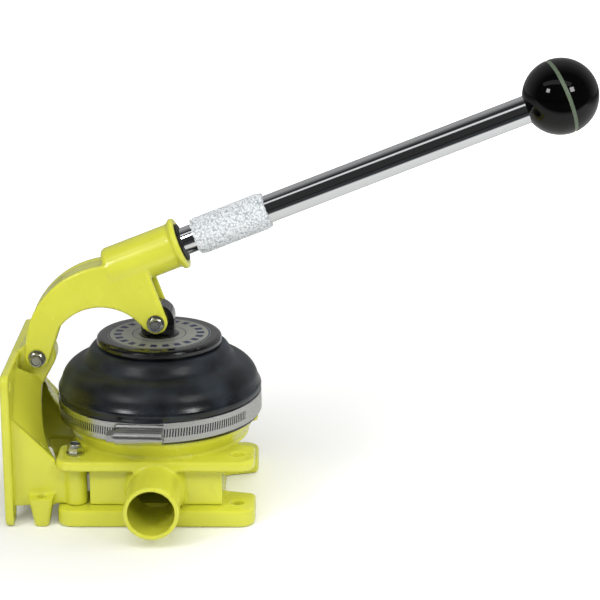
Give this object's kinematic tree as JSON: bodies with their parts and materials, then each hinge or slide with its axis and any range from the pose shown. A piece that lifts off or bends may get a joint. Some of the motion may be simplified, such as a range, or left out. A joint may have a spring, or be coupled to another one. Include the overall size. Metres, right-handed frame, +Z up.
{
  "type": "manual bilge pump",
  "caption": "Manual diaphragm bilge pump: coated cast body with two hose stubs, side bracket, lever fork and removable ball handle.",
  "frame": {"origin": "on the diaphragm axis, in the plane of the feet (underside of the base plate)", "axes": "+Z up along the diaphragm axis, +X towards the handle's knob with the mounting wall plate on -X, +Y away from the front hose stub"},
  "size_m": [0.4098, 0.217, 0.3175],
  "materials": {
    "yellow_enamel": "epoxy powder coat on die-cast aluminium, glossy",
    "black_rubber": "moulded, satin",
    "stainless": "stainless, bright",
    "brass": "plain",
    "black_enamel": "black gloss coat on aluminium",
    "label_metal": "plain printed foil, left blank",
    "black_nylon": "moulded",
    "chrome_plate": "mirror bright",
    "grip_tape": "coarse woven",
    "black_phenolic": "polished",
    "pale_ring": "moulded"
  },
  "bodies": {
    "pump": {"pump_body": "yellow_enamel", "base_plate": "yellow_enamel", "base_gasket": "black_rubber", "base_screws": "stainless", "inlet_keeper": "stainless", "outlet_keeper": "stainless", "inlet_keeper_screws": "stainless", "outlet_keeper_screws": "stainless", "diaphragm": "black_rubber", "clamp_band": "stainless", "clamp_housing": "stainless", "clamp_screw": "stainless", "bracket": "yellow_enamel", "bracket_bolts": "stainless", "bracket_washers": "stainless", "bracket_nuts": "stainless", "fulcrum_bolt": "stainless", "fulcrum_nut": "stainless", "fulcrum_washers": "stainless"},
    "inlet_valve": {"inlet_flap": "black_rubber", "inlet_flap_weight": "brass"},
    "outlet_valve": {"outlet_flap": "black_rubber", "outlet_flap_weight": "brass"},
    "plunger": {"top_plate": "black_enamel", "label_disc": "label_metal", "lower_plate": "black_enamel", "plate_screws": "stainless"},
    "lever": {"lever_arm": "yellow_enamel", "fulcrum_bushes": "black_nylon", "socket_bush": "black_nylon", "fork_pin": "stainless", "fork_nut": "stainless", "fork_washers": "stainless"},
    "handle": {"handle_tube": "chrome_plate", "handle_sleeve": "grip_tape", "knob": "black_phenolic", "knob_ring": "pale_ring", "knob_plug": "stainless"}
  },
  "joints": [
    {"name": "lever_swing", "type": "hinge", "parent": "pump", "child": "lever", "pos_m": [-0.0855, 0, 0.1063], "axis": [0, 1, 0], "range_deg": [0, 34]},
    {"name": "plunger_slide", "type": "slide", "parent": "pump", "child": "plunger", "axis": [0, 0, -1], "range_m": [0, 0.0516], "deforming": ["diaphragm"]},
    {"name": "handle_pull", "type": "slide", "parent": "lever", "child": "handle", "axis": [0.9295, 0, 0.3689], "range_m": [0, 0.052]},
    {"name": "inlet_flap_swing", "type": "hinge", "parent": "pump", "child": "inlet_valve", "pos_m": [0, -0.0208, 0.0368], "axis": [1, 0, 0], "range_deg": [0, 50]},
    {"name": "outlet_flap_swing", "type": "hinge", "parent": "pump", "child": "outlet_valve", "pos_m": [0, 0.0292, 0.0368], "axis": [1, 0, 0], "range_deg": [0, 50]}
  ],
  "couplings": [
    {"joint": "plunger_slide", "follows": "lever_swing", "m_per_rad": 0.0866}
  ]
}
